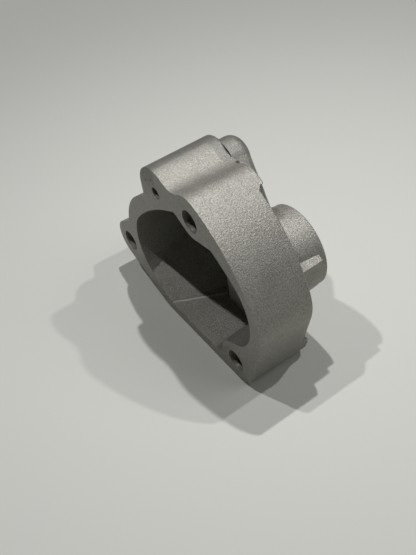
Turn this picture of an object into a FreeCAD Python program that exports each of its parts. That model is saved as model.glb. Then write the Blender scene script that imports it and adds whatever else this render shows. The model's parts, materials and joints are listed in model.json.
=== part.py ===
import FreeCAD, Part
import math
import os
import Sketcher

# Driving sizes in millimetres and degrees. Across and up are measured in the plane of the mating face,
# from the shaft axis and from the flat side. Depths are measured from the mating face.
SIZES = {
    "shell_depth": 21.0,
    "boss_drop": 1.2,
    "step_height": 2.2,
    "spigot_rise": 6.5,
    "side_draft": 1.5,
    "screw_hole_radius": 3.3,
    "right_boss_across": -8.25,
    "right_boss_up": 49.8,
    "right_boss_radius": 7.5,
    "left_boss_across": -50.05,
    "left_boss_up": 15.1,
    "left_boss_radius": 6.75,
    "foot_boss_across": 4.55,
    "foot_boss_radius": 7.25,
    "flat_skim": 0.1,
    "lobe_across": -24.3,
    "lobe_up": 48.75,
    "lobe_radius": 8.17,
    "bulge_across": 3.25,
    "bulge_up": 27.2,
    "bulge_radius": 14.9,
    "crown_radius": 42.0,
    "valley_radius": 7.0,
    "shoulder_across": -22.6,
    "shoulder_up": 19.8,
    "shoulder_radius": 25.6,
    "shoulder_slope": 33.4,
    "heel_slope": 22.6,
    "heel_radius": 8.0,
    "deep_wall": 3.2,
    "cavity_draft": 3.0,
    "ramp_draft": 13.5,
    "floor_thickness": 3.4,
    "ramp_foot": -30.3,
    "ramp_slope": 34.0,
    "ramp_corner_radius": 3.0,
    "end_wall_across": -27.8,
    "end_wall_radius": 16.0,
    "roof_across": 12.0,
    "roof_rise": 4.0,
    "roof_radius": 70.8,
    "left_tip_radius": 2.0,
    "right_tip_radius": 1.6,
    "inner_boss_radius": 5.4,
    "inner_boss_left_slope": 29.0,
    "inner_boss_right_slope": 10.0,
    "inner_bulge_in": 4.65,
    "inner_bulge_rise": 1.3,
    "inner_bulge_radius": 15.45,
    "inner_bulge_slope": 34.0,
    "shelf_corner_angle": 52.6,
    "inner_foot_radius": 6.4,
    "inner_foot_fillet": 5.5,
    "back_wall": 3.8,
    "back_wall_lap": 1.2,
    "plateau_edge": -15.0,
    "plateau_wall": 3.0,
    "step_radius": 6.4,
    "step_slope": 40.0,
    "foot_step_slope": 10.0,
    "spot_face_radius": 7.4,
    "shaft_up": 31.13,
    "spigot_radius": 12.2,
    "land_radius": 12.0,
    "land_length": 2.4,
    "land_chamfer": 0.4,
    "shaft_radius": 5.0,
    "seal_radius": 9.0,
    "seal_depth": 5.0,
    "lug_top_angle": 25.0,
    "lug_top_slope": 22.0,
    "lug_top_length": 1.95,
    "lug_foot_angle": 38.0,
    "lug_root": 4.0,
    "lug_taper": 3.0,
    "dome_across": -21.5,
    "dome_up": 50.8,
    "dome_radius": 5.9,
    "dome_drop": 0.9,
    "dome_round": 3.2,
    "gallery_root": 0.8,
    "ridge_end_width": 7.6,
    "ridge_end_drop": 3.4,
    "ridge_round": 2.0,
    "ridge_reach": 18.5,
    "ridge_cover": 0.2,
    "pin_hole_across": -24.75,
    "pin_hole_up": 49.1,
    "pin_hole_radius": 1.8,
    "pin_hole_depth": 16.0,
    "step_foot_bevel": 0.6,
    "step_round": 0.8,
    "shell_rim_round": 0.8,
    "boss_rim_bevel": 0.3,
    "beyond": 20.0,
}

doc = FreeCAD.newDocument("oil_pump_housing")
sheet = doc.addObject("Spreadsheet::Sheet", "Sizes")
for row, (alias, number) in enumerate(SIZES.items(), start=1):
    sheet.set("A%d" % row, alias)
    sheet.set("B%d" % row, str(number))
    sheet.setAlias("B%d" % row, alias)
doc.recompute()

body = doc.addObject("PartDesign::Body", "pump_housing")
body.Label = "pump_housing"
PLANES = {plane.Role: plane for plane in body.Origin.OriginFeatures}


def size(alias):
    return SIZES[alias]


def run(degrees):
    return math.tan(math.radians(degrees))


def point(across, up):
    return FreeCAD.Vector(across, up, 0)


def heading(degrees):
    angle = math.radians(degrees)
    return point(math.cos(angle), math.sin(angle))


def right_of(direction):
    return point(direction.y, -direction.x)


# Plane geometry for the starting shapes of the sketches
def outer_tangent(first, first_radius, second, second_radius):
    gap = second - first
    along = gap / gap.Length
    share = (first_radius - second_radius) / gap.Length
    normal = along * share + right_of(along) * math.sqrt(1 - share * share)
    return first + normal * first_radius, second + normal * second_radius


def meeting(first, first_reach, second, second_reach, side):
    gap = second - first
    along = gap / gap.Length
    forward = (first_reach ** 2 - second_reach ** 2 + gap.Length ** 2) / (2 * gap.Length)
    aside = math.sqrt(first_reach ** 2 - forward ** 2)
    return first + along * forward + right_of(along) * aside * side


def on_circle(centre, radius, start, direction):
    # The first point of the circle that a line from start meets when it runs along direction.
    offset = start - centre
    half = offset.dot(direction)
    root = math.sqrt(half * half - offset.dot(offset) + radius * radius)
    return start + direction * (-half - root)


def corner(start, direction, other, other_direction):
    normal = right_of(other_direction)
    return start + direction * ((other - start).dot(normal) / direction.dot(normal))


def line(start, end):
    return {"start": start, "end": end}


def arc(centre, start, end, clockwise=False):
    return {"start": start, "end": end, "centre": centre, "clockwise": clockwise}


def curve(piece):
    if "centre" not in piece:
        return Part.LineSegment(piece["start"], piece["end"])
    centre = piece["centre"]
    first = piece["start"] - centre
    last = piece["end"] - centre
    if piece["clockwise"]:
        first, last = last, first
    begin = math.atan2(first.y, first.x)
    finish = math.atan2(last.y, last.x)
    if finish <= begin:
        finish += 2 * math.pi
    circle = Part.Circle(centre, FreeCAD.Vector(0, 0, 1), first.Length)
    return Part.ArcOfCircle(circle, begin, finish)


def sketch_on(role, name, shift, turn=FreeCAD.Rotation()):
    sketch = body.newObject("Sketcher::SketchObject", name)
    sketch.AttachmentSupport = [(PLANES[role], "")]
    sketch.MapMode = "FlatFace"
    sketch.AttachmentOffset = FreeCAD.Placement(shift, turn)
    return sketch


def face_sketch(name, depth, expression):
    sketch = sketch_on("XZ_Plane", name, FreeCAD.Vector(0, 0, -depth))
    sketch.setExpression("AttachmentOffset.Base.z", "-(%s)" % expression)
    return sketch


def bind(sketch, label, expression, *constraint):
    index = sketch.addConstraint(Sketcher.Constraint(*constraint))
    sketch.renameConstraint(index, label)
    sketch.setExpression("Constraints." + label, expression)


def bind_centre(sketch, label, geometry, centre, across, up):
    bind(sketch, label + "_across", across, "DistanceX", -1, 1, geometry, 3, centre.x)
    bind(sketch, label + "_up", up, "DistanceY", -1, 1, geometry, 3, centre.y)


def bind_point(sketch, label, geometry, end, place, across, up):
    bind(sketch, label + "_across", across, "DistanceX", -1, 1, geometry, end, place.x)
    bind(sketch, label + "_up", up, "DistanceY", -1, 1, geometry, end, place.y)


def bind_radius(sketch, label, geometry, radius, expression):
    bind(sketch, label + "_radius", expression, "Radius", geometry, radius)


def bind_heading(sketch, label, geometry, degrees, expression):
    bind(sketch, label, expression, "Angle", geometry, math.radians(degrees))


def join(sketch, pieces, corners):
    sketch.addGeometry([curve(piece) for piece in pieces], False)
    for index, piece in enumerate(pieces):
        follower = (index + 1) % len(pieces)
        leaving = 1 if piece.get("clockwise") else 2
        entering = 2 if pieces[follower].get("clockwise") else 1
        kind = "Coincident" if index in corners else "Tangent"
        sketch.addConstraint(Sketcher.Constraint(kind, index, leaving, follower, entering))


def circle_sketch(name, depth, depth_expression, circles):
    sketch = face_sketch(name, depth, depth_expression)
    for label, across, up, radius in circles:
        centre = point(size(across), size(up))
        index = sketch.addGeometry(Part.Circle(centre, FreeCAD.Vector(0, 0, 1), size(radius)), False)
        bind_centre(sketch, label, index, centre, "Sizes." + across, "Sizes." + up)
        bind_radius(sketch, label, index, size(radius), "Sizes." + radius)
    return sketch


# Depths of the rear levels and of the cavity, all from the depth of the shell
boss_depth = size("shell_depth") - size("boss_drop")
BOSS_DEPTH = "(Sizes.shell_depth - Sizes.boss_drop)"
body_depth = boss_depth - size("step_height")
BODY_DEPTH = "(Sizes.shell_depth - Sizes.boss_drop - Sizes.step_height)"
spigot_depth = size("shell_depth") + size("spigot_rise")
SPIGOT_DEPTH = "(Sizes.shell_depth + Sizes.spigot_rise)"
cavity_depth = size("shell_depth") - size("deep_wall")
CAVITY_DEPTH = "(Sizes.shell_depth - Sizes.deep_wall)"

# The foot boss stands on the flat side, which is machined a skim into it
foot_up = size("foot_boss_radius") - size("flat_skim")
FOOT_UP = "(Sizes.foot_boss_radius - Sizes.flat_skim)"


# Outer outline of the casting at a depth where its drafted walls have come in by the inset
def outline_sketch(name, depth, depth_expression, inset, inset_expression):
    low = -size("flat_skim")
    foot_radius = size("foot_boss_radius") - inset
    foot = point(size("foot_boss_across"), foot_radius + low)
    bulge = point(size("bulge_across"), size("bulge_up"))
    bulge_radius = size("bulge_radius") - inset
    right = point(size("right_boss_across"), size("right_boss_up"))
    right_radius = size("right_boss_radius") - inset
    crown_radius = size("crown_radius") - inset
    valley_radius = size("valley_radius") + inset
    lobe = point(size("lobe_across"), size("lobe_up"))
    lobe_radius = size("lobe_radius")
    shoulder = point(size("shoulder_across"), size("shoulder_up"))
    shoulder_radius = size("shoulder_radius") - inset
    left = point(size("left_boss_across"), size("left_boss_up"))
    left_radius = size("left_boss_radius") - inset
    heel_radius = size("heel_radius")

    wall_start, wall_end = outer_tangent(foot, foot_radius, bulge, bulge_radius)
    crown = meeting(bulge, crown_radius - bulge_radius, right, crown_radius - right_radius, -1)
    crown_start = crown + (bulge - crown).normalize() * crown_radius
    crown_end = crown + (right - crown).normalize() * crown_radius
    valley = meeting(right, right_radius + valley_radius, lobe, lobe_radius + valley_radius, 1)
    valley_start = valley + (right - valley).normalize() * valley_radius
    valley_end = valley + (lobe - valley).normalize() * valley_radius
    lobe_end = lobe - point(lobe_radius, 0)
    notch = shoulder + point(
        lobe_end.x - shoulder.x, math.sqrt(shoulder_radius ** 2 - (lobe_end.x - shoulder.x) ** 2))
    shoulder_heading = heading(size("shoulder_slope") - 180)
    left_start = left + right_of(shoulder_heading) * left_radius
    shoulder_end = on_circle(shoulder, shoulder_radius, left_start, shoulder_heading * -1)
    heel_heading = heading(-size("heel_slope"))
    heel_normal = right_of(heel_heading)
    left_end = left + heel_normal * left_radius
    heel_up = heel_radius + low
    heel_across = left_end.x - (heel_radius + heel_normal.y * (heel_up - left_end.y)) / heel_normal.x
    heel = point(heel_across, heel_up)
    heel_start = heel + heel_normal * heel_radius

    sketch = face_sketch(name, depth, depth_expression)
    join(sketch, [
        line(point(heel.x, low), point(foot.x, low)),
        arc(foot, point(foot.x, low), wall_start),
        line(wall_start, wall_end),
        arc(bulge, wall_end, crown_start),
        arc(crown, crown_start, crown_end),
        arc(right, crown_end, valley_start),
        arc(valley, valley_start, valley_end, clockwise=True),
        arc(lobe, valley_end, lobe_end),
        line(lobe_end, notch),
        arc(shoulder, notch, shoulder_end),
        line(shoulder_end, left_start),
        arc(left, left_start, left_end),
        line(left_end, heel_start),
        arc(heel, heel_start, point(heel.x, low)),
    ], corners=(8, 9))
    shrink = " - " + inset_expression
    grow = " + " + inset_expression
    sketch.addConstraint(Sketcher.Constraint("Horizontal", 0))
    sketch.addConstraint(Sketcher.Constraint("Vertical", 8))
    bind_centre(sketch, "foot", 1, foot, "Sizes.foot_boss_across", FOOT_UP + shrink)
    bind_radius(sketch, "foot", 1, foot_radius, "Sizes.foot_boss_radius" + shrink)
    bind_centre(sketch, "bulge", 3, bulge, "Sizes.bulge_across", "Sizes.bulge_up")
    bind_radius(sketch, "bulge", 3, bulge_radius, "Sizes.bulge_radius" + shrink)
    bind_radius(sketch, "crown", 4, crown_radius, "Sizes.crown_radius" + shrink)
    bind_centre(sketch, "right", 5, right, "Sizes.right_boss_across", "Sizes.right_boss_up")
    bind_radius(sketch, "right", 5, right_radius, "Sizes.right_boss_radius" + shrink)
    bind_radius(sketch, "valley", 6, valley_radius, "Sizes.valley_radius" + grow)
    bind_centre(sketch, "lobe", 7, lobe, "Sizes.lobe_across", "Sizes.lobe_up")
    bind_radius(sketch, "lobe", 7, lobe_radius, "Sizes.lobe_radius")
    bind_centre(sketch, "shoulder", 9, shoulder, "Sizes.shoulder_across", "Sizes.shoulder_up")
    bind_radius(sketch, "shoulder", 9, shoulder_radius, "Sizes.shoulder_radius" + shrink)
    bind_heading(sketch, "shoulder_heading", 10, size("shoulder_slope") - 180, "Sizes.shoulder_slope - 180")
    bind_centre(sketch, "left", 11, left, "Sizes.left_boss_across", "Sizes.left_boss_up")
    bind_radius(sketch, "left", 11, left_radius, "Sizes.left_boss_radius" + shrink)
    bind_heading(sketch, "heel_heading", 12, -size("heel_slope"), "-Sizes.heel_slope")
    bind_radius(sketch, "heel", 13, heel_radius, "Sizes.heel_radius")
    return sketch


# The round end of the cavity keeps its place from the bulge of the outer wall
inner_bulge = point(
    size("bulge_across") - size("inner_bulge_in"), size("bulge_up") + size("inner_bulge_rise"))
INNER_BULGE_ACROSS = "(Sizes.bulge_across - Sizes.inner_bulge_in)"
INNER_BULGE_UP = "(Sizes.bulge_up + Sizes.inner_bulge_rise)"


# Outline of the pump cavity at a depth where its walls have come in by the inset and the ramp by the slide
def cavity_sketch(name, depth, depth_expression, inset, inset_expression, slide, slide_expression):
    floor_up = size("floor_thickness") + inset
    ramp_foot = point(size("ramp_foot") + slide, floor_up)
    fillet_radius = size("inner_foot_fillet")
    foot = point(size("foot_boss_across"), foot_up)
    foot_radius = size("inner_foot_radius") + inset
    bulge = inner_bulge
    bulge_radius = size("inner_bulge_radius") - inset
    right = point(size("right_boss_across"), size("right_boss_up"))
    right_radius = size("inner_boss_radius") + inset
    roof = point(size("roof_across"), size("right_boss_up") + size("roof_rise") - size("roof_radius"))
    roof_radius = size("roof_radius") - inset
    end_radius = size("end_wall_radius") - inset
    left_tip_radius = size("left_tip_radius")
    right_tip_radius = size("right_tip_radius")
    ramp_radius = size("ramp_corner_radius")

    fillet_up = floor_up + fillet_radius
    reach = fillet_radius + foot_radius
    fillet = point(foot.x - math.sqrt(reach ** 2 - (fillet_up - foot.y) ** 2), fillet_up)
    fillet_end = fillet + (foot - fillet).normalize() * fillet_radius
    shelf_end = bulge + heading(-size("shelf_corner_angle")) * bulge_radius
    shelf_start = outer_tangent(shelf_end, 0, foot, foot_radius)[1]
    rise = heading(180 - size("inner_bulge_slope"))
    rise_start = bulge + right_of(rise) * bulge_radius
    back = heading(180 + size("inner_boss_right_slope"))
    back_end = right - right_of(back) * right_radius
    peak = corner(
        rise_start - right_of(rise) * right_tip_radius, rise,
        back_end - right_of(back) * right_tip_radius, back)
    climb = heading(180 - size("inner_boss_left_slope"))
    climb_start = right - right_of(climb) * right_radius
    tip_line = climb_start - right_of(climb) * left_tip_radius
    tip = on_circle(roof, roof_radius - left_tip_radius, tip_line + climb * size("beyond"), climb * -1)
    tip_end = roof + (tip - roof).normalize() * roof_radius
    lean = roof.x - size("end_wall_across")
    fall = math.sqrt((roof_radius - end_radius) ** 2 - lean ** 2)
    end_wall = point(size("end_wall_across"), roof.y + fall)
    end_start = roof + (end_wall - roof).normalize() * roof_radius
    ramp = heading(-size("ramp_slope"))
    ramp_line = ramp_foot - right_of(ramp) * ramp_radius
    ramp_corner = on_circle(end_wall, end_radius - ramp_radius, ramp_line, ramp * -1)
    if (ramp_corner - end_wall).dot(ramp) > 0:
        ramp_corner = on_circle(end_wall, end_radius - ramp_radius, ramp_line - ramp * 4 * end_radius, ramp)
    end_stop = end_wall + (ramp_corner - end_wall).normalize() * end_radius
    ramp_start = ramp_corner + right_of(ramp) * ramp_radius

    sketch = face_sketch(name, depth, depth_expression)
    join(sketch, [
        line(ramp_foot, point(fillet.x, floor_up)),
        arc(fillet, point(fillet.x, floor_up), fillet_end),
        arc(foot, fillet_end, shelf_start, clockwise=True),
        line(shelf_start, shelf_end),
        arc(bulge, shelf_end, rise_start),
        line(rise_start, peak + right_of(rise) * right_tip_radius),
        arc(peak, peak + right_of(rise) * right_tip_radius, peak + right_of(back) * right_tip_radius),
        line(peak + right_of(back) * right_tip_radius, back_end),
        arc(right, back_end, climb_start, clockwise=True),
        line(climb_start, tip + right_of(climb) * left_tip_radius),
        arc(tip, tip + right_of(climb) * left_tip_radius, tip_end),
        arc(roof, tip_end, end_start),
        arc(end_wall, end_start, end_stop),
        arc(ramp_corner, end_stop, ramp_start),
        line(ramp_start, ramp_foot),
    ], corners=(3, 14))
    shrink = " - " + inset_expression
    grow = " + " + inset_expression
    sketch.addConstraint(Sketcher.Constraint("Horizontal", 0))
    bind_point(sketch, "ramp_foot", 0, 1, ramp_foot, "Sizes.ramp_foot + " + slide_expression,
               "Sizes.floor_thickness" + grow)
    bind_radius(sketch, "fillet", 1, fillet_radius, "Sizes.inner_foot_fillet")
    bind_centre(sketch, "foot", 2, foot, "Sizes.foot_boss_across", FOOT_UP)
    bind_radius(sketch, "foot", 2, foot_radius, "Sizes.inner_foot_radius" + grow)
    bind_centre(sketch, "bulge", 4, bulge, INNER_BULGE_ACROSS, INNER_BULGE_UP)
    bind_radius(sketch, "bulge", 4, bulge_radius, "Sizes.inner_bulge_radius" + shrink)
    bind(sketch, "shelf_corner",
         INNER_BULGE_ACROSS + " + (Sizes.inner_bulge_radius%s) * cos(Sizes.shelf_corner_angle)" % shrink,
         "DistanceX", -1, 1, 4, 1, shelf_end.x)
    bind_heading(sketch, "rise_heading", 5, 180 - size("inner_bulge_slope"), "180 - Sizes.inner_bulge_slope")
    bind_radius(sketch, "right_tip", 6, right_tip_radius, "Sizes.right_tip_radius")
    bind_heading(sketch, "back_heading", 7, size("inner_boss_right_slope") - 180,
                 "Sizes.inner_boss_right_slope - 180")
    bind_centre(sketch, "right", 8, right, "Sizes.right_boss_across", "Sizes.right_boss_up")
    bind_radius(sketch, "right", 8, right_radius, "Sizes.inner_boss_radius" + grow)
    bind_heading(sketch, "climb_heading", 9, 180 - size("inner_boss_left_slope"),
                 "180 - Sizes.inner_boss_left_slope")
    bind_radius(sketch, "left_tip", 10, left_tip_radius, "Sizes.left_tip_radius")
    bind_centre(sketch, "roof", 11, roof, "Sizes.roof_across",
                "Sizes.right_boss_up + Sizes.roof_rise - Sizes.roof_radius")
    bind_radius(sketch, "roof", 11, roof_radius, "Sizes.roof_radius" + shrink)
    bind(sketch, "end_wall_across", "Sizes.end_wall_across", "DistanceX", -1, 1, 12, 3, end_wall.x)
    bind_radius(sketch, "end_wall", 12, end_radius, "Sizes.end_wall_radius" + shrink)
    bind_radius(sketch, "ramp", 13, ramp_radius, "Sizes.ramp_corner_radius")
    bind_heading(sketch, "ramp_heading", 14, -size("ramp_slope"), "-Sizes.ramp_slope")
    return sketch


def pad(name, sketch, length, expression, deeper=True, taper=None):
    feature = body.newObject("PartDesign::Pad", name)
    feature.Profile = sketch
    feature.Length = length
    feature.setExpression("Length", expression)
    feature.Reversed = deeper
    if taper:
        feature.TaperAngle = taper[0]
        feature.setExpression("TaperAngle", taper[1])
    body.Tip = feature
    doc.recompute()
    return feature


def pocket(name, sketch, length, expression, deeper=True):
    feature = body.newObject("PartDesign::Pocket", name)
    feature.Profile = sketch
    feature.Length = length
    feature.setExpression("Length", expression)
    feature.Reversed = not deeper
    body.Tip = feature
    doc.recompute()
    return feature


# Drafted shell of the casting, its flat side kept level
shell_inset = size("shell_depth") * run(size("side_draft"))
front_outline = outline_sketch("front_outline", 0, "0", 0, "0")
rear_outline = outline_sketch(
    "rear_outline", size("shell_depth"), "Sizes.shell_depth",
    shell_inset, "Sizes.shell_depth * tan(Sizes.side_draft)")
doc.recompute()
shell = body.newObject("PartDesign::AdditiveLoft", "shell")
shell.Profile = front_outline
shell.Sections = [rear_outline]
shell.Ruled = True
body.Tip = shell
doc.recompute()

# Flat side, machined level
flat_sketch = sketch_on("XY_Plane", "flat_side_profile", FreeCAD.Vector(0, 0, 0))
flat_left = size("left_boss_across") - size("left_boss_radius")
flat_right = size("bulge_across") + size("bulge_radius")
join(flat_sketch, [
    line(point(flat_left, -size("beyond")), point(flat_right, -size("beyond"))),
    line(point(flat_right, -size("beyond")), point(flat_right, size("shell_depth") + size("beyond"))),
    line(point(flat_right, size("shell_depth") + size("beyond")),
         point(flat_left, size("shell_depth") + size("beyond"))),
    line(point(flat_left, size("shell_depth") + size("beyond")), point(flat_left, -size("beyond"))),
], corners=range(4))
flat_sketch.addConstraint(Sketcher.Constraint("Horizontal", 0))
flat_sketch.addConstraint(Sketcher.Constraint("Vertical", 1))
flat_sketch.addConstraint(Sketcher.Constraint("Horizontal", 2))
flat_sketch.addConstraint(Sketcher.Constraint("Vertical", 3))
bind_point(flat_sketch, "near", 0, 1, point(flat_left, -size("beyond")),
           "Sizes.left_boss_across - Sizes.left_boss_radius", "-Sizes.beyond")
bind_point(flat_sketch, "far", 1, 2, point(flat_right, size("shell_depth") + size("beyond")),
           "Sizes.bulge_across + Sizes.bulge_radius", "Sizes.shell_depth + Sizes.beyond")
flat_side = pocket("flat_side", flat_sketch, size("beyond"), "Sizes.beyond", deeper=True)

# Pump cavity, open at the mating face
cavity_inset = cavity_depth * run(size("cavity_draft"))
cavity_slide = cavity_depth * run(size("ramp_draft")) / math.sin(math.radians(size("ramp_slope")))
cavity_mouth = cavity_sketch("cavity_mouth", 0, "0", 0, "0", 0, "0")
cavity_floor = cavity_sketch(
    "cavity_floor", cavity_depth, CAVITY_DEPTH,
    cavity_inset, CAVITY_DEPTH + " * tan(Sizes.cavity_draft)",
    cavity_slide, CAVITY_DEPTH + " * tan(Sizes.ramp_draft) / sin(Sizes.ramp_slope)")
doc.recompute()
cavity = body.newObject("PartDesign::SubtractiveLoft", "cavity")
cavity.Profile = cavity_mouth
cavity.Sections = [cavity_floor]
cavity.Ruled = True
body.Tip = cavity
doc.recompute()

# Back wall of the body where it is shallower than the plateau
wall_start = body_depth - size("back_wall")
fill_edge = size("plateau_edge") - size("plateau_wall")
lap = size("back_wall_lap")
fill_low = size("floor_thickness") - lap
fill_foot = point(size("foot_boss_across"), fill_low)
fill_bulge_radius = size("inner_bulge_radius") + lap
fill_bulge_start = outer_tangent(fill_foot, 0, inner_bulge, fill_bulge_radius)[1]
fill_top = point(size("right_boss_across"), size("right_boss_up"))
fill_bulge_end = outer_tangent(inner_bulge, fill_bulge_radius, fill_top, 0)[0]
back_profile = face_sketch("back_profile", wall_start, BODY_DEPTH + " - Sizes.back_wall")
join(back_profile, [
    line(point(fill_edge, fill_low), fill_foot),
    line(fill_foot, fill_bulge_start),
    arc(inner_bulge, fill_bulge_start, fill_bulge_end),
    line(fill_bulge_end, fill_top),
    line(fill_top, point(fill_edge, fill_top.y)),
    line(point(fill_edge, fill_top.y), point(fill_edge, fill_low)),
], corners=(0, 3, 4, 5))
back_profile.addConstraint(Sketcher.Constraint("Horizontal", 0))
back_profile.addConstraint(Sketcher.Constraint("Horizontal", 4))
back_profile.addConstraint(Sketcher.Constraint("Vertical", 5))
bind_point(back_profile, "foot", 0, 2, fill_foot, "Sizes.foot_boss_across",
           "Sizes.floor_thickness - Sizes.back_wall_lap")
bind_centre(back_profile, "bulge", 2, inner_bulge, INNER_BULGE_ACROSS, INNER_BULGE_UP)
bind_radius(back_profile, "bulge", 2, fill_bulge_radius, "Sizes.inner_bulge_radius + Sizes.back_wall_lap")
bind_point(back_profile, "top", 3, 2, fill_top, "Sizes.right_boss_across", "Sizes.right_boss_up")
bind(back_profile, "edge", "Sizes.plateau_edge - Sizes.plateau_wall", "DistanceX", -1, 1, 5, 1, fill_edge)
back_wall = pad(
    "back_wall_fill", back_profile, size("back_wall") + lap, "Sizes.back_wall + Sizes.back_wall_lap")

# Rear steps: screw bosses first, then the body beside them
far = size("beyond")
far_right = size("bulge_across") + size("bulge_radius") + far
far_up = size("lobe_up") + size("lobe_radius") + far
step_profile = face_sketch("boss_step_profile", boss_depth, BOSS_DEPTH)
plateau_low = point(size("plateau_edge"), -far)
join(step_profile, [
    line(plateau_low, point(far_right, -far)),
    line(point(far_right, -far), point(far_right, far_up)),
    line(point(far_right, far_up), point(size("plateau_edge"), far_up)),
    line(point(size("plateau_edge"), far_up), plateau_low),
], corners=range(4))
step_profile.addConstraint(Sketcher.Constraint("Horizontal", 0))
step_profile.addConstraint(Sketcher.Constraint("Vertical", 1))
step_profile.addConstraint(Sketcher.Constraint("Horizontal", 2))
step_profile.addConstraint(Sketcher.Constraint("Vertical", 3))
bind_point(step_profile, "low", 0, 1, plateau_low, "Sizes.plateau_edge", "-Sizes.beyond")
bind_point(step_profile, "high", 1, 2, point(far_right, far_up),
           "Sizes.bulge_across + Sizes.bulge_radius + Sizes.beyond",
           "Sizes.lobe_up + Sizes.lobe_radius + Sizes.beyond")
boss_step = pocket("boss_step", step_profile, size("beyond"), "Sizes.beyond", deeper=True)

foot_centre = point(size("foot_boss_across"), foot_up)
right_centre = point(size("right_boss_across"), size("right_boss_up"))
left_centre = point(size("left_boss_across"), size("left_boss_up"))
step_radius = size("step_radius")
foot_left = foot_centre - point(step_radius, 0)
foot_ray = heading(size("foot_step_slope"))
right_ray = heading(size("step_slope"))
right_low = right_centre - point(0, step_radius)
body_profile = face_sketch("body_step_profile", boss_depth, BOSS_DEPTH)
foot_far = corner(foot_centre, foot_ray, point(far_right, 0), point(0, 1))
right_far = corner(right_centre, right_ray, point(far_right, 0), point(0, 1))
join(body_profile, [
    line(plateau_low, point(foot_left.x, -far)),
    line(point(foot_left.x, -far), foot_left),
    arc(foot_centre, foot_left, foot_centre + foot_ray * step_radius, clockwise=True),
    line(foot_centre + foot_ray * step_radius, foot_far),
    line(foot_far, right_far),
    line(right_far, right_centre + right_ray * step_radius),
    arc(right_centre, right_centre + right_ray * step_radius, right_low, clockwise=True),
    line(right_low, point(size("plateau_edge"), right_low.y)),
    line(point(size("plateau_edge"), right_low.y), plateau_low),
], corners=(0, 2, 3, 4, 5, 7, 8))
body_profile.addConstraint(Sketcher.Constraint("Horizontal", 0))
body_profile.addConstraint(Sketcher.Constraint("Vertical", 1))
body_profile.addConstraint(Sketcher.Constraint("Vertical", 4))
body_profile.addConstraint(Sketcher.Constraint("Horizontal", 7))
body_profile.addConstraint(Sketcher.Constraint("Vertical", 8))
bind_point(body_profile, "low", 0, 1, plateau_low, "Sizes.plateau_edge", "-Sizes.beyond")
bind_centre(body_profile, "foot", 2, foot_centre, "Sizes.foot_boss_across", FOOT_UP)
bind_radius(body_profile, "foot", 2, step_radius, "Sizes.step_radius")
body_profile.addConstraint(Sketcher.Constraint("PointOnObject", 2, 3, 3))
bind_heading(body_profile, "foot_heading", 3, size("foot_step_slope"), "Sizes.foot_step_slope")
bind_centre(body_profile, "right", 6, right_centre, "Sizes.right_boss_across", "Sizes.right_boss_up")
bind_radius(body_profile, "right", 6, step_radius, "Sizes.step_radius")
body_profile.addConstraint(Sketcher.Constraint("PointOnObject", 6, 3, 5))
bind_heading(body_profile, "right_heading", 5, size("step_slope") - 180, "Sizes.step_slope - 180")
bind(body_profile, "far_right", "Sizes.bulge_across + Sizes.bulge_radius + Sizes.beyond",
     "DistanceX", -1, 1, 4, 1, far_right)
body_step = pocket("body_step", body_profile, size("step_height"), "Sizes.step_height", deeper=False)

# Steps with a bevelled foot and a rounded top, then the rims behind the outer walls


def edge_names(shape, levels, keep):
    names = []
    for index, edge in enumerate(shape.Edges, start=1):
        span = edge.BoundBox
        on_level = any(abs(span.YMin - level) < 0.01 and abs(span.YMax - level) < 0.01 for level in levels)
        if on_level and keep(shape, edge):
            names.append("Edge%d" % index)
    return names


def walls_at(shape, edge):
    boxes = [face.BoundBox for face in shape.ancestorsOfType(edge, Part.Face)]
    return [box for box in boxes if box.YLength > 0.1]


def is_step(shape, edge):
    # The long upper edges of the plateau stay sharp.
    clear = edge.BoundBox.XMax > size("plateau_edge") + 0.01 or edge.BoundBox.YMax < boss_depth - 0.01
    return clear and any(box.YMin > body_depth - 0.01 for box in walls_at(shape, edge))


def is_outer_rim(shape, edge):
    return edge.BoundBox.ZMax > 0.01 and any(box.YMin < 0.01 for box in walls_at(shape, edge))


def is_land_rim(shape, edge):
    return hasattr(edge.Curve, "Radius") and abs(edge.Curve.Radius - size("land_radius")) < 0.01


def trim_edges(kind, measure, name, base, levels, keep, alias):
    feature = body.newObject("PartDesign::" + kind, name)
    feature.Base = (base, edge_names(base.Shape, levels, keep))
    setattr(feature, measure, size(alias))
    feature.setExpression(measure, "Sizes." + alias)
    body.Tip = feature
    doc.recompute()
    return feature


foot_bevel = trim_edges(
    "Chamfer", "Size", "foot_bevel", body_step, [body_depth], is_step, "step_foot_bevel")
top_rounding = trim_edges(
    "Fillet", "Radius", "top_rounding", foot_bevel, [boss_depth], is_step, "step_round")
boss_rim_bevel = trim_edges(
    "Chamfer", "Size", "boss_rim_bevel", top_rounding, [boss_depth, body_depth], is_outer_rim,
    "boss_rim_bevel")
shell_rim_rounding = trim_edges(
    "Fillet", "Radius", "shell_rim_rounding", boss_rim_bevel, [size("shell_depth")], is_outer_rim,
    "shell_rim_round")

# Spigot round the shaft, with a turned land at its end
shaft_centre = point(0, size("shaft_up"))


def shaft_sketch(name, depth, depth_expression, radius):
    sketch = face_sketch(name, depth, depth_expression)
    sketch.addGeometry(Part.Circle(shaft_centre, FreeCAD.Vector(0, 0, 1), size(radius)), False)
    sketch.addConstraint(Sketcher.Constraint("PointOnObject", 0, 3, -2))
    bind(sketch, "up", "Sizes.shaft_up", "DistanceY", -1, 1, 0, 3, shaft_centre.y)
    bind_radius(sketch, "round", 0, size(radius), "Sizes." + radius)
    return sketch


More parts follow.
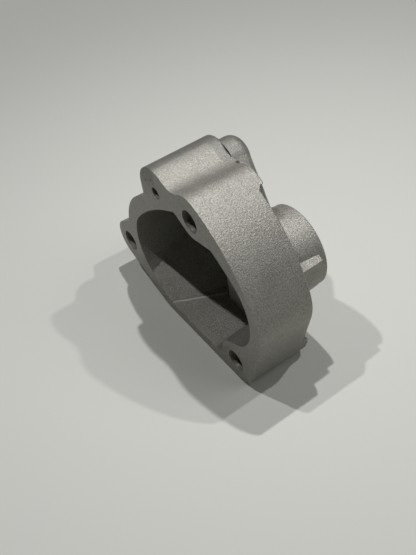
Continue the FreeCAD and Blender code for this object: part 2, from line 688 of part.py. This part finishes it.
root_depth = body_depth - size("back_wall") / 2
ROOT_DEPTH = "(%s - Sizes.back_wall / 2)" % BODY_DEPTH
land_depth = spigot_depth - size("land_length")
LAND_DEPTH = "(Sizes.shell_depth + Sizes.spigot_rise - Sizes.land_length)"
spigot_profile = shaft_sketch("spigot_profile", land_depth, LAND_DEPTH, "spigot_radius")
spigot = pad(
    "spigot", spigot_profile, land_depth - root_depth, LAND_DEPTH + " - " + ROOT_DEPTH, deeper=False)
land_profile = shaft_sketch("land_profile", spigot_depth, SPIGOT_DEPTH, "land_radius")
land = pad(
    "pilot_land", land_profile, spigot_depth - root_depth, SPIGOT_DEPTH + " - " + ROOT_DEPTH, deeper=False)

# Lug that stiffens the spigot on its outer side
lug_top = shaft_centre + heading(size("lug_top_angle")) * size("spigot_radius")
lug_slope = heading(-size("lug_top_slope"))
lug_corner = lug_top + lug_slope * size("lug_top_length")
lug_inner = lug_top - lug_slope * size("lug_root")
lug_foot = shaft_centre + heading(-size("lug_foot_angle")) * size("spigot_radius")
lug_sketch = face_sketch("lug_profile", land_depth, LAND_DEPTH)
join(lug_sketch, [
    line(shaft_centre, lug_foot),
    line(lug_foot, lug_corner),
    line(lug_corner, lug_inner),
    line(lug_inner, shaft_centre),
], corners=range(4))
lug_sketch.addConstraint(Sketcher.Constraint("PointOnObject", 0, 1, -2))
bind(lug_sketch, "up", "Sizes.shaft_up", "DistanceY", -1, 1, 0, 1, shaft_centre.y)
bind_heading(lug_sketch, "foot_heading", 0, -size("lug_foot_angle"), "-Sizes.lug_foot_angle")
bind(lug_sketch, "foot_reach", "Sizes.spigot_radius", "Distance", 0, size("spigot_radius"))
bind_point(
    lug_sketch, "corner", 1, 2, lug_corner,
    "Sizes.spigot_radius * cos(Sizes.lug_top_angle) + Sizes.lug_top_length * cos(Sizes.lug_top_slope)",
    "Sizes.shaft_up + Sizes.spigot_radius * sin(Sizes.lug_top_angle)"
    " - Sizes.lug_top_length * sin(Sizes.lug_top_slope)")
bind(lug_sketch, "top_length", "Sizes.lug_top_length + Sizes.lug_root", "Distance", 2,
     size("lug_top_length") + size("lug_root"))
bind_heading(lug_sketch, "top_heading", 2, 180 - size("lug_top_slope"), "180 - Sizes.lug_top_slope")
lug = pad(
    "lug", lug_sketch, land_depth - root_depth, LAND_DEPTH + " - " + ROOT_DEPTH, deeper=False,
    taper=(size("lug_taper"), "Sizes.lug_taper"))

# Domed end of the oil gallery behind the lobe
dome_sketch = sketch_on("XY_Plane", "dome_profile", FreeCAD.Vector(size("dome_across"), 0, size("dome_up")))
dome_sketch.setExpression("AttachmentOffset.Base.x", "Sizes.dome_across")
dome_sketch.setExpression("AttachmentOffset.Base.z", "Sizes.dome_up")
gallery_depth = size("shell_depth") - size("gallery_root")
GALLERY_DEPTH = "Sizes.shell_depth - Sizes.gallery_root"
dome_depth = spigot_depth - size("dome_drop")
DOME_DEPTH = SPIGOT_DEPTH + " - Sizes.dome_drop"
dome_rim = dome_depth - size("dome_round")
join(dome_sketch, [
    line(point(0, gallery_depth), point(size("dome_radius"), gallery_depth)),
    line(point(size("dome_radius"), gallery_depth), point(size("dome_radius"), dome_rim)),
    arc(point(size("dome_radius") - size("dome_round"), dome_rim), point(size("dome_radius"), dome_rim),
        point(size("dome_radius") - size("dome_round"), dome_depth)),
    line(point(size("dome_radius") - size("dome_round"), dome_depth), point(0, dome_depth)),
    line(point(0, dome_depth), point(0, gallery_depth)),
], corners=(0, 3, 4))
dome_sketch.addConstraint(Sketcher.Constraint("Horizontal", 0))
dome_sketch.addConstraint(Sketcher.Constraint("Vertical", 1))
dome_sketch.addConstraint(Sketcher.Constraint("Horizontal", 3))
dome_sketch.addConstraint(Sketcher.Constraint("PointOnObject", 0, 1, -2))
dome_sketch.addConstraint(Sketcher.Constraint("PointOnObject", 3, 2, -2))
bind(dome_sketch, "root", GALLERY_DEPTH, "DistanceY", -1, 1, 0, 1, gallery_depth)
bind(dome_sketch, "reach", "Sizes.dome_radius", "DistanceX", -1, 1, 1, 1, size("dome_radius"))
bind(dome_sketch, "top", DOME_DEPTH, "DistanceY", -1, 1, 3, 2, dome_depth)
bind_radius(dome_sketch, "round", 2, size("dome_round"), "Sizes.dome_round")
dome = body.newObject("PartDesign::Revolution", "dome")
dome.Profile = dome_sketch
dome.ReferenceAxis = (dome_sketch, ["V_Axis"])
body.Tip = dome
doc.recompute()

# Ridge over the gallery, from the dome down to the spigot
dome_centre = point(size("dome_across"), size("dome_up"))
ridge_run = (shaft_centre - dome_centre).normalize()
ridge_side = right_of(ridge_run) * -1
ridge_turn = FreeCAD.Rotation(ridge_side, FreeCAD.Vector(0, 0, -1), ridge_run * -1, "ZXY")


def ridge_section(name, along, root, root_expression, top, top_expression, width, width_expression, rounding):
    place = dome_centre + ridge_run * along
    sketch = sketch_on("XZ_Plane", name, place, ridge_turn)
    radius = size(rounding)
    brow = top - radius
    half = width / 2
    join(sketch, [
        line(point(-half, root), point(half, root)),
        line(point(half, root), point(half, brow)),
        arc(point(half - radius, brow), point(half, brow), point(half - radius, top)),
        line(point(half - radius, top), point(radius - half, top)),
        arc(point(radius - half, brow), point(radius - half, top), point(-half, brow)),
        line(point(-half, brow), point(-half, root)),
    ], corners=(0, 5))
    sketch.addConstraint(Sketcher.Constraint("Horizontal", 0))
    sketch.addConstraint(Sketcher.Constraint("Vertical", 1))
    sketch.addConstraint(Sketcher.Constraint("Horizontal", 3))
    sketch.addConstraint(Sketcher.Constraint("Vertical", 5))
    bind(sketch, "left", "-(%s) / 2" % width_expression, "DistanceX", -1, 1, 0, 1, -half)
    bind(sketch, "right", "(%s) / 2" % width_expression, "DistanceX", -1, 1, 0, 2, half)
    bind(sketch, "root", root_expression, "DistanceY", -1, 1, 0, 1, root)
    bind(sketch, "top", top_expression, "DistanceY", -1, 1, 3, 1, top)
    bind_radius(sketch, "right", 2, radius, "Sizes." + rounding)
    bind_radius(sketch, "left", 4, radius, "Sizes." + rounding)
    return sketch


ridge_high = ridge_section(
    "ridge_high", 0, gallery_depth, GALLERY_DEPTH, dome_depth, DOME_DEPTH,
    2 * size("dome_radius"), "2 * Sizes.dome_radius", "dome_round")
ridge_low = ridge_section(
    "ridge_low", size("ridge_reach"), body_depth - size("back_wall") + size("ridge_cover"),
    BODY_DEPTH + " - Sizes.back_wall + Sizes.ridge_cover",
    spigot_depth - size("ridge_end_drop"), SPIGOT_DEPTH + " - Sizes.ridge_end_drop",
    size("ridge_end_width"), "Sizes.ridge_end_width", "ridge_round")
doc.recompute()
ridge = body.newObject("PartDesign::AdditiveLoft", "ridge")
ridge.Profile = ridge_high
ridge.Sections = [ridge_low]
ridge.Ruled = True
body.Tip = ridge
doc.recompute()

# Machined holes and seats
spot_sketch = circle_sketch(
    "spot_face_profile", boss_depth, BOSS_DEPTH,
    [("left", "left_boss_across", "left_boss_up", "spot_face_radius")])
spot_face = pocket("spot_face", spot_sketch, size("beyond"), "Sizes.beyond", deeper=True)

screw_sketch = face_sketch("screw_hole_profile", 0, "0")
for order, (label, centre, up) in enumerate((
        ("right", right_centre, "Sizes.right_boss_up"),
        ("left", left_centre, "Sizes.left_boss_up"),
        ("foot", foot_centre, FOOT_UP))):
    screw_sketch.addGeometry(Part.Circle(centre, FreeCAD.Vector(0, 0, 1), size("screw_hole_radius")), False)
    bind_centre(screw_sketch, label, order, centre, "Sizes.%s_boss_across" % label, up)
    bind_radius(screw_sketch, label, order, size("screw_hole_radius"), "Sizes.screw_hole_radius")
screw_holes = pocket("screw_holes", screw_sketch, size("shell_depth"), "Sizes.shell_depth", deeper=True)

pin_sketch = circle_sketch(
    "pin_hole_profile", 0, "0", [("pin", "pin_hole_across", "pin_hole_up", "pin_hole_radius")])
pin_hole = pocket("pin_hole", pin_sketch, size("pin_hole_depth"), "Sizes.pin_hole_depth", deeper=True)

seal_profile = shaft_sketch("seal_profile", spigot_depth, SPIGOT_DEPTH, "seal_radius")
seal_seat = pocket("seal_seat", seal_profile, size("seal_depth"), "Sizes.seal_depth", deeper=False)
bore_profile = shaft_sketch("bore_profile", spigot_depth, SPIGOT_DEPTH, "shaft_radius")
shaft_bore = pocket("shaft_bore", bore_profile, spigot_depth, SPIGOT_DEPTH, deeper=False)

land_rim = trim_edges(
    "Chamfer", "Size", "land_rim", shaft_bore, [spigot_depth], is_land_rim, "land_chamfer")

body.Placement.Base = FreeCAD.Vector(
    -(size("left_boss_across") - size("left_boss_radius") + size("bulge_across") + size("bulge_radius")) / 2,
    -spigot_depth / 2, 0)
doc.recompute()

for item in doc.Objects:
    if "Invalid" in item.State or "Error" in item.State:
        raise RuntimeError("object in error: %s %s" % (item.Name, item.State))

os.makedirs("parts", exist_ok=True)
for node in (body,):
    if node.Shape.isNull() or not node.Shape.isValid():
        raise RuntimeError("bad shape: " + node.Label)
    node.Shape.exportStep("parts/%s.step" % node.Label)
    box = node.Shape.BoundBox
    print(node.Label, round(node.Shape.Volume), box)
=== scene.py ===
import json
import math

import bpy
from mathutils import Matrix, Vector

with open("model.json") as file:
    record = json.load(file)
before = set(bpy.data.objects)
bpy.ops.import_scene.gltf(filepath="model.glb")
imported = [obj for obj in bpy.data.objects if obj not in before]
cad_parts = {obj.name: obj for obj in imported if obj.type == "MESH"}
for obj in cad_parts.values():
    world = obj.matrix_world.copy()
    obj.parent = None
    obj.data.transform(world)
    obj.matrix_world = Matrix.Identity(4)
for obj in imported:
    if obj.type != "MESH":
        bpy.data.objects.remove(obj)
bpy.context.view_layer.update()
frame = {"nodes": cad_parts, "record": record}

scene = bpy.context.scene
housing = frame["nodes"]["pump_housing"]
mounts = {mount["name"]: mount["pos_m"] for mount in frame["record"]["mounts"]}
pin_across = mounts["pin_hole"][0]
pin_up = mounts["pin_hole"][2]
face_depth = mounts["mating_face"][1]

# Lengths are in metres, and colours are linear red, green, blue and opacity.
# Skin of the casting
METAL_SHARE = 0.6
REFRACTION = 1.45
GRAIN = {"Scale": 2600, "Detail": 3, "Roughness": 0.65}
CLOUD = {"Scale": 160, "Detail": 4}
PITS = {"Scale": 3400}
GRAIN_TONES = ((0.36, (0.215, 0.210, 0.193, 1)), (0.66, (0.385, 0.371, 0.331, 1)))
CLOUD_TONES = ((0.35, (0.90, 0.90, 0.89, 1)), (0.65, (1, 1, 1, 1)))
ROUGHNESS = (0.42, 0.54)
GRAIN_RELIEF = {"Strength": 1.0, "Distance": 0.00018}
PIT_RELIEF = {"Strength": 0.4, "Distance": 0.00004}
MARK_RELIEF = {"Strength": 0.6, "Distance": 0.0002}

# Painted shade: the lobe's flank beyond a line along its crest is darkened with a grey tint that
# stands in for the shade on that side
SHADE_EDGE_ACROSS = pin_across + 0.000525
SHADE_EDGE_DEPTH = face_depth + 0.01735
SHADE_EDGE_WANDER = 0.0012
SHADE_EDGE_SOFTNESS = (0.0005, 0.0008)
SHADED_FLANK_FOOT = (pin_up - 0.0006, pin_up + 0.0034)
SHADED_FLANK_SIDE = (pin_across + 0.008425, pin_across + 0.006425)
FLANK_SHADE_SHARE = 0.42
FLANK_SHADE_TINT = (0.12, 0.12, 0.113, 1)

# Painted highlight along a line across the cavity's lower wall, which a bump also raises as a small
# ridge
RIDGE_START = (-0.0101, -0.0132, 0.00343)
RIDGE_END = (-0.0017, 0.0009, 0.00417)
RIDGE_REACH = 0.0005
RIDGE_HIGHLIGHT_SHARE = 0.32
RIDGE_HIGHLIGHT_TINT = (0.80, 0.79, 0.74, 1)

# Blow holes in the mating face, painted dark inside as shade and sunk by a bump: across and up from
# the pin hole, and radius
BLOW_HOLES = ((-0.004145, 0.00214, 0.00055), (-0.001255, 0.00391, 0.00045))
HOLE_SHADE_SHARE = 0.8
HOLE_SHADE_TINT = (0.03, 0.03, 0.028, 1)

# Table top, and the pale backdrop that it turns into away from the object
TABLE_SIZE = 6
TABLE_COLOUR = (0.60, 0.605, 0.57, 1)
TABLE_ROUGHNESS = 0.9
TABLE_SPECULAR = 0.1
TABLE_FADE = (0.16, 0.40)
BACKDROP = (0.47, 0.475, 0.45, 1)

# Lamps aimed at the flat side's middle: name, place, strength of the light there, diameter of the disk
LAMPS = (
    ("lamp_back", (0.077, 0.105, 0.263), 0.19, 0.007),
    ("lamp_left", (-0.019, 0.045, 0.294), 0.43, 0.007),
    ("lamp_front", (-0.069, -0.102, 0.389), 0.28, 0.009),
    ("lamp_room", (0.75, 0.55, 0.95), 0.11, 0.8),
)
ROOM_COLOUR = (1.0, 0.995, 0.97, 1)
ROOM_STRENGTH = 0.04

# Camera at the photograph's place
CAMERA_PLACE = (0.153855, -0.085747, 0.185032)
CAMERA_RIGHT = (0.56176796, 0.81810401, -0.12297388)
CAMERA_UP = (-0.52956997, 0.46980582, 0.70628474)
SENSOR_WIDTH = 36
LENS = 54.03
NEAR_CLIP = 0.01
FAR_CLIP = 20

# Grid that new nodes are laid out on
NODE_STEP = 220
NODE_ROWS = 5


def add_node(tree, kind, inputs=None, **settings):
    column, row = divmod(len(tree.nodes), NODE_ROWS)
    node = tree.nodes.new(kind)
    node.location = (column * NODE_STEP, -row * NODE_STEP)
    for name, value in settings.items():
        setattr(node, name, value)
    for name, value in (inputs or {}).items():
        node.inputs[name].default_value = value
    return node


def texture(tree, kind, vector, inputs):
    node = add_node(tree, kind, inputs)
    tree.links.new(vector, node.inputs["Vector"])
    return node


def toned(tree, value, tones):
    node = add_node(tree, "ShaderNodeValToRGB")
    for stop, (position, colour) in zip(node.color_ramp.elements, tones):
        stop.position = position
        stop.color = colour
    tree.links.new(value, node.inputs["Fac"])
    return node.outputs["Color"]


def ramp(tree, value, limits, results=(0, 1)):
    names = ("From Min", "From Max", "To Min", "To Max")
    node = add_node(tree, "ShaderNodeMapRange", dict(zip(names, limits + results)), clamp=True)
    tree.links.new(value, node.inputs["Value"])
    return node.outputs["Result"]


def reckoned(tree, operation, first, second):
    # Either value may be a number or another node's output.
    node = add_node(tree, "ShaderNodeMath", operation=operation)
    for socket, value in zip(node.inputs, (first, second)):
        if isinstance(value, (int, float)):
            socket.default_value = value
        else:
            tree.links.new(value, socket)
    return node.outputs["Value"]


def tinted(tree, share, colour, tint):
    node = add_node(tree, "ShaderNodeMix", data_type="RGBA")
    node.inputs["B"].default_value = tint
    tree.links.new(share, node.inputs["Factor"])
    tree.links.new(colour, node.inputs["A"])
    return node.outputs["Result"]


def bumped(tree, height, relief, normal=None):
    node = add_node(tree, "ShaderNodeBump", relief)
    tree.links.new(height, node.inputs["Height"])
    if normal:
        tree.links.new(normal, node.inputs["Normal"])
    return node.outputs["Normal"]


def near_line(tree, vector, start, end, reach):
    # One within half the reach of the line from start to end, falling to zero at the reach.
    start, end = Vector(start), Vector(end)
    way = (end - start).normalized()
    away = add_node(tree, "ShaderNodeVectorMath", operation="SUBTRACT")
    away.inputs[1].default_value = start
    tree.links.new(vector, away.inputs[0])
    along = add_node(tree, "ShaderNodeVectorMath", operation="DOT_PRODUCT")
    along.inputs[1].default_value = way
    tree.links.new(away.outputs["Vector"], along.inputs[0])
    held = add_node(tree, "ShaderNodeClamp", {"Max": (end - start).length})
    tree.links.new(along.outputs["Value"], held.inputs["Value"])
    foot = add_node(tree, "ShaderNodeVectorMath", operation="SCALE")
    foot.inputs[0].default_value = way
    tree.links.new(held.outputs["Result"], foot.inputs["Scale"])
    gap = add_node(tree, "ShaderNodeVectorMath", operation="DISTANCE")
    tree.links.new(away.outputs["Vector"], gap.inputs[0])
    tree.links.new(foot.outputs["Vector"], gap.inputs[1])
    return ramp(tree, gap.outputs["Value"], (reach, reach / 2))


# Mask of the lobe's flank, whose colour is darkened as painted shade
def painted_flank_shade(tree, spot, cloud):
    axes = add_node(tree, "ShaderNodeSeparateXYZ")
    tree.links.new(spot, axes.inputs["Vector"])
    wander = reckoned(tree, "MULTIPLY", cloud, SHADE_EDGE_WANDER)
    left_of_crest = reckoned(tree, "SUBTRACT", SHADE_EDGE_ACROSS, axes.outputs["X"])
    behind_crest = reckoned(tree, "SUBTRACT", axes.outputs["Y"], SHADE_EDGE_DEPTH)
    beyond = reckoned(tree, "MAXIMUM", left_of_crest, behind_crest)
    beyond = reckoned(tree, "ADD", beyond, wander)
    shaded_flank = ramp(tree, beyond, SHADE_EDGE_SOFTNESS)
    shaded_flank = reckoned(tree, "MULTIPLY", shaded_flank, ramp(tree, axes.outputs["Z"], SHADED_FLANK_FOOT))
    return reckoned(tree, "MULTIPLY", shaded_flank, ramp(tree, axes.outputs["X"], SHADED_FLANK_SIDE))


# Mask of the blow holes: painted dark as the shade inside them, and sunk by a bump
def hole_and_shade_mask(tree, spot):
    masks = []
    for across, up, radius in BLOW_HOLES:
        centre = (pin_across + across, face_depth, pin_up + up)
        masks.append(near_line(tree, spot, centre, centre, radius))
    return reckoned(tree, "MAXIMUM", *masks)


def cast_aluminium():
    # Blasted die casting: matt grey metal with a fine sparkle and a slightly cloudy skin
    cast = bpy.data.materials.new("cast_aluminium")
    cast.use_nodes = True
    tree = cast.node_tree
    shader = tree.nodes["Principled BSDF"]
    shader.inputs["Metallic"].default_value = METAL_SHARE
    shader.inputs["IOR"].default_value = REFRACTION

    spot = add_node(tree, "ShaderNodeTexCoord").outputs["Object"]
    grain = texture(tree, "ShaderNodeTexNoise", spot, GRAIN).outputs["Fac"]
    cloud = texture(tree, "ShaderNodeTexNoise", spot, CLOUD).outputs["Fac"]
    pits = texture(tree, "ShaderNodeTexVoronoi", spot, PITS).outputs["Distance"]
    shaded_flank = painted_flank_shade(tree, spot, cloud)
    # Mask of that line: brightened as painted highlight and raised by a bump
    ridge_and_highlight = near_line(tree, spot, RIDGE_START, RIDGE_END, RIDGE_REACH)
    holes_and_shade = hole_and_shade_mask(tree, spot)

    skin = add_node(tree, "ShaderNodeMix", data_type="RGBA", blend_type="MULTIPLY")
    skin.inputs["Factor"].default_value = 1
    tree.links.new(toned(tree, grain, GRAIN_TONES), skin.inputs["A"])
    tree.links.new(toned(tree, cloud, CLOUD_TONES), skin.inputs["B"])
    colour = skin.outputs["Result"]
    # Painted light: the lobe's flank darkened as shade, a line on the cavity's lower wall brightened
    # as highlight, the blow holes darkened as shade
    marks = (
        (shaded_flank, FLANK_SHADE_SHARE, FLANK_SHADE_TINT),
        (ridge_and_highlight, RIDGE_HIGHLIGHT_SHARE, RIDGE_HIGHLIGHT_TINT),
        (holes_and_shade, HOLE_SHADE_SHARE, HOLE_SHADE_TINT),
    )
    for mask, share, tint in marks:
        colour = tinted(tree, reckoned(tree, "MULTIPLY", mask, share), colour, tint)
    tree.links.new(colour, shader.inputs["Base Color"])
    tree.links.new(ramp(tree, cloud, (0, 1), ROUGHNESS), shader.inputs["Roughness"])

    normal = bumped(tree, grain, GRAIN_RELIEF)
    normal = bumped(tree, pits, PIT_RELIEF, normal)
    normal = bumped(tree, reckoned(tree, "SUBTRACT", ridge_and_highlight, holes_and_shade), MARK_RELIEF, normal)
    tree.links.new(normal, shader.inputs["Normal"])
    return cast


def table_paper():
    # Matt paper that fades, to the camera alone, into the backdrop
    paper = bpy.data.materials.new("table_top")
    paper.use_nodes = True
    tree = paper.node_tree
    shader = tree.nodes["Principled BSDF"]
    shader.inputs["Base Color"].default_value = TABLE_COLOUR
    shader.inputs["Roughness"].default_value = TABLE_ROUGHNESS
    shader.inputs["Specular IOR Level"].default_value = TABLE_SPECULAR

    spot = add_node(tree, "ShaderNodeTexCoord")
    distance = add_node(tree, "ShaderNodeVectorMath", operation="LENGTH")
    tree.links.new(spot.outputs["Object"], distance.inputs[0])
    far_away = ramp(tree, distance.outputs["Value"], TABLE_FADE)
    rays = add_node(tree, "ShaderNodeLightPath")
    seen = reckoned(tree, "MULTIPLY", far_away, rays.outputs["Is Camera Ray"])
    glow = add_node(tree, "ShaderNodeEmission", {"Color": BACKDROP})
    fade = add_node(tree, "ShaderNodeMixShader")
    tree.links.new(seen, fade.inputs["Fac"])
    tree.links.new(shader.outputs["BSDF"], fade.inputs[1])
    tree.links.new(glow.outputs["Emission"], fade.inputs[2])
    tree.links.new(fade.outputs["Shader"], tree.nodes["Material Output"].inputs["Surface"])
    return paper


def add_table():
    bpy.ops.mesh.primitive_plane_add(size=TABLE_SIZE, location=(0, 0, 0))
    floor = bpy.context.object
    floor.name = "table_top"
    floor.data.materials.append(table_paper())


def add_lamp(name, place, light, across):
    aim = Vector(place)
    data = bpy.data.lights.new(name, "AREA")
    data.shape = "DISK"
    data.size = across
    data.energy = light * math.pi ** 2 * aim.length ** 3 / aim.z
    lamp = bpy.data.objects.new(name, data)
    lamp.location = aim
    lamp.rotation_mode = "QUATERNION"
    lamp.rotation_quaternion = aim.to_track_quat("Z", "Y")
    scene.collection.objects.link(lamp)


def studio_world():
    # Weak light from all round, and the backdrop where the camera looks past the table
    world = bpy.data.worlds.new("studio")
    world.use_nodes = True
    tree = world.node_tree
    room = tree.nodes["Background"]
    room.inputs["Color"].default_value = ROOM_COLOUR
    room.inputs["Strength"].default_value = ROOM_STRENGTH
    backdrop = add_node(tree, "ShaderNodeBackground", {"Color": BACKDROP})
    rays = add_node(tree, "ShaderNodeLightPath")
    shown = add_node(tree, "ShaderNodeMixShader")
    tree.links.new(rays.outputs["Is Camera Ray"], shown.inputs["Fac"])
    tree.links.new(room.outputs["Background"], shown.inputs[1])
    tree.links.new(backdrop.outputs["Background"], shown.inputs[2])
    tree.links.new(shown.outputs["Shader"], tree.nodes["World Output"].inputs["Surface"])
    return world


def photo_camera():
    lens = bpy.data.cameras.new("camera")
    lens.sensor_width = SENSOR_WIDTH
    lens.lens = LENS
    lens.clip_start = NEAR_CLIP
    lens.clip_end = FAR_CLIP
    camera = bpy.data.objects.new("camera", lens)
    right, up = Vector(CAMERA_RIGHT), Vector(CAMERA_UP)
    turn = Matrix((right, up, right.cross(up))).transposed()
    camera.rotation_mode = "QUATERNION"
    camera.rotation_quaternion = turn.to_quaternion()
    camera.location = CAMERA_PLACE
    scene.collection.objects.link(camera)
    return camera


skin = cast_aluminium()
for slot in housing.material_slots:
    slot.material = skin
add_table()
for name, place, light, across in LAMPS:
    add_lamp(name, place, light, across)
scene.world = studio_world()
scene.camera = photo_camera()
scene.view_settings.view_transform = "Standard"
